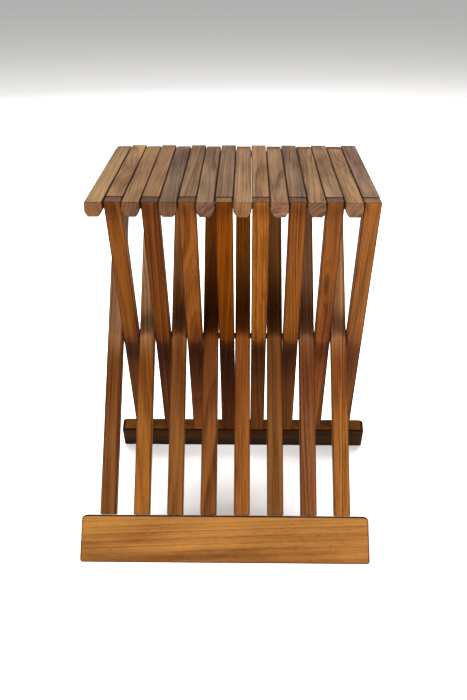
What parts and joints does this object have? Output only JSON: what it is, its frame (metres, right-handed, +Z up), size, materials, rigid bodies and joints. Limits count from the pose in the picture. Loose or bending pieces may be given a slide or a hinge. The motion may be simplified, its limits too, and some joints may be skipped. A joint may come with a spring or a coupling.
{
  "type": "shower stool",
  "caption": "Folding slatted teak shower stool: two crossed comb frames on broad foot boards, with seat slats hinged on rods so that it folds flat.",
  "frame": {"origin": "on the floor, under the middle of the seat, with the stool unfolded", "axes": "+X to the stool's right across the slats, +Y to the back along the slats, +Z up"},
  "size_m": [0.3868, 0.3296, 0.469],
  "materials": {
    "worn_teak": "matt, greyed by water on top",
    "oiled_teak": "oiled satin",
    "plug_teak": "end grain, oiled",
    "steel": "brushed stainless"
  },
  "bodies": {
    "front_foot_frame": {"leg_01": "oiled_teak", "leg_03": "oiled_teak", "leg_05": "oiled_teak", "leg_07": "oiled_teak", "leg_09": "oiled_teak", "leg_11": "oiled_teak", "leg_13": "oiled_teak", "leg_15": "oiled_teak", "front_foot_board": "oiled_teak", "pivot_rod": "steel", "rear_hinge_rod": "steel", "pivot_plug_left": "plug_teak", "rear_hinge_plug_left": "plug_teak"},
    "rear_foot_frame": {"leg_02": "oiled_teak", "leg_04": "oiled_teak", "leg_06": "oiled_teak", "leg_08": "oiled_teak", "leg_10": "oiled_teak", "leg_12": "oiled_teak", "leg_14": "oiled_teak", "leg_16": "oiled_teak", "rear_foot_board": "oiled_teak", "front_hinge_rod": "steel", "pivot_plug_right": "plug_teak", "front_hinge_plug_right": "plug_teak"},
    "slat_01": {"seat_slat_01": "worn_teak", "front_hinge_plug_left": "plug_teak"},
    "slat_02": {"seat_slat_02": "worn_teak"},
    "slat_03": {"seat_slat_03": "worn_teak"},
    "slat_04": {"seat_slat_04": "worn_teak"},
    "slat_05": {"seat_slat_05": "worn_teak"},
    "slat_06": {"seat_slat_06": "worn_teak"},
    "slat_07": {"seat_slat_07": "worn_teak"},
    "slat_08": {"seat_slat_08": "worn_teak"},
    "slat_09": {"seat_slat_09": "worn_teak"},
    "slat_10": {"seat_slat_10": "worn_teak"},
    "slat_11": {"seat_slat_11": "worn_teak"},
    "slat_12": {"seat_slat_12": "worn_teak"},
    "slat_13": {"seat_slat_13": "worn_teak"},
    "slat_14": {"seat_slat_14": "worn_teak"},
    "slat_15": {"seat_slat_15": "worn_teak"},
    "slat_16": {"seat_slat_16": "worn_teak", "rear_hinge_plug_right": "plug_teak"}
  },
  "joints": [
    {"name": "frame_fold", "type": "hinge", "parent": "front_foot_frame", "child": "rear_foot_frame", "pos_m": [0, 0, 0.24021], "axis": [-1, 0, 0], "range_deg": [0, 55]},
    {"name": "slat_01_lift", "type": "hinge", "parent": "rear_foot_frame", "child": "slat_01", "pos_m": [0, -0.14056, 0.46], "axis": [1, 0, 0], "range_deg": [0, 110]},
    {"name": "slat_02_lift", "type": "hinge", "parent": "front_foot_frame", "child": "slat_02", "pos_m": [0, 0.14056, 0.46], "axis": [-1, 0, 0], "range_deg": [0, 110]},
    {"name": "slat_03_lift", "type": "hinge", "parent": "rear_foot_frame", "child": "slat_03", "pos_m": [0, -0.14056, 0.46], "axis": [1, 0, 0], "range_deg": [0, 110]},
    {"name": "slat_04_lift", "type": "hinge", "parent": "front_foot_frame", "child": "slat_04", "pos_m": [0, 0.14056, 0.46], "axis": [-1, 0, 0], "range_deg": [0, 110]},
    {"name": "slat_05_lift", "type": "hinge", "parent": "rear_foot_frame", "child": "slat_05", "pos_m": [0, -0.14056, 0.46], "axis": [1, 0, 0], "range_deg": [0, 110]},
    {"name": "slat_06_lift", "type": "hinge", "parent": "front_foot_frame", "child": "slat_06", "pos_m": [0, 0.14056, 0.46], "axis": [-1, 0, 0], "range_deg": [0, 110]},
    {"name": "slat_07_lift", "type": "hinge", "parent": "rear_foot_frame", "child": "slat_07", "pos_m": [0, -0.14056, 0.46], "axis": [1, 0, 0], "range_deg": [0, 110]},
    {"name": "slat_08_lift", "type": "hinge", "parent": "front_foot_frame", "child": "slat_08", "pos_m": [0, 0.14056, 0.46], "axis": [-1, 0, 0], "range_deg": [0, 110]},
    {"name": "slat_09_lift", "type": "hinge", "parent": "rear_foot_frame", "child": "slat_09", "pos_m": [0, -0.14056, 0.46], "axis": [1, 0, 0], "range_deg": [0, 110]},
    {"name": "slat_10_lift", "type": "hinge", "parent": "front_foot_frame", "child": "slat_10", "pos_m": [0, 0.14056, 0.46], "axis": [-1, 0, 0], "range_deg": [0, 110]},
    {"name": "slat_11_lift", "type": "hinge", "parent": "rear_foot_frame", "child": "slat_11", "pos_m": [0, -0.14056, 0.46], "axis": [1, 0, 0], "range_deg": [0, 110]},
    {"name": "slat_12_lift", "type": "hinge", "parent": "front_foot_frame", "child": "slat_12", "pos_m": [0, 0.14056, 0.46], "axis": [-1, 0, 0], "range_deg": [0, 110]},
    {"name": "slat_13_lift", "type": "hinge", "parent": "rear_foot_frame", "child": "slat_13", "pos_m": [0, -0.14056, 0.46], "axis": [1, 0, 0], "range_deg": [0, 110]},
    {"name": "slat_14_lift", "type": "hinge", "parent": "front_foot_frame", "child": "slat_14", "pos_m": [0, 0.14056, 0.46], "axis": [-1, 0, 0], "range_deg": [0, 110]},
    {"name": "slat_15_lift", "type": "hinge", "parent": "rear_foot_frame", "child": "slat_15", "pos_m": [0, -0.14056, 0.46], "axis": [1, 0, 0], "range_deg": [0, 110]},
    {"name": "slat_16_lift", "type": "hinge", "parent": "front_foot_frame", "child": "slat_16", "pos_m": [0, 0.14056, 0.46], "axis": [-1, 0, 0], "range_deg": [0, 110]}
  ],
  "couplings": [
    {"joint": "slat_01_lift", "follows": "frame_fold", "ratio": 2},
    {"joint": "slat_02_lift", "follows": "frame_fold", "ratio": 2},
    {"joint": "slat_03_lift", "follows": "frame_fold", "ratio": 2},
    {"joint": "slat_04_lift", "follows": "frame_fold", "ratio": 2},
    {"joint": "slat_05_lift", "follows": "frame_fold", "ratio": 2},
    {"joint": "slat_06_lift", "follows": "frame_fold", "ratio": 2},
    {"joint": "slat_07_lift", "follows": "frame_fold", "ratio": 2},
    {"joint": "slat_08_lift", "follows": "frame_fold", "ratio": 2},
    {"joint": "slat_09_lift", "follows": "frame_fold", "ratio": 2},
    {"joint": "slat_10_lift", "follows": "frame_fold", "ratio": 2},
    {"joint": "slat_11_lift", "follows": "frame_fold", "ratio": 2},
    {"joint": "slat_12_lift", "follows": "frame_fold", "ratio": 2},
    {"joint": "slat_13_lift", "follows": "frame_fold", "ratio": 2},
    {"joint": "slat_14_lift", "follows": "frame_fold", "ratio": 2},
    {"joint": "slat_15_lift", "follows": "frame_fold", "ratio": 2},
    {"joint": "slat_16_lift", "follows": "frame_fold", "ratio": 2}
  ]
}
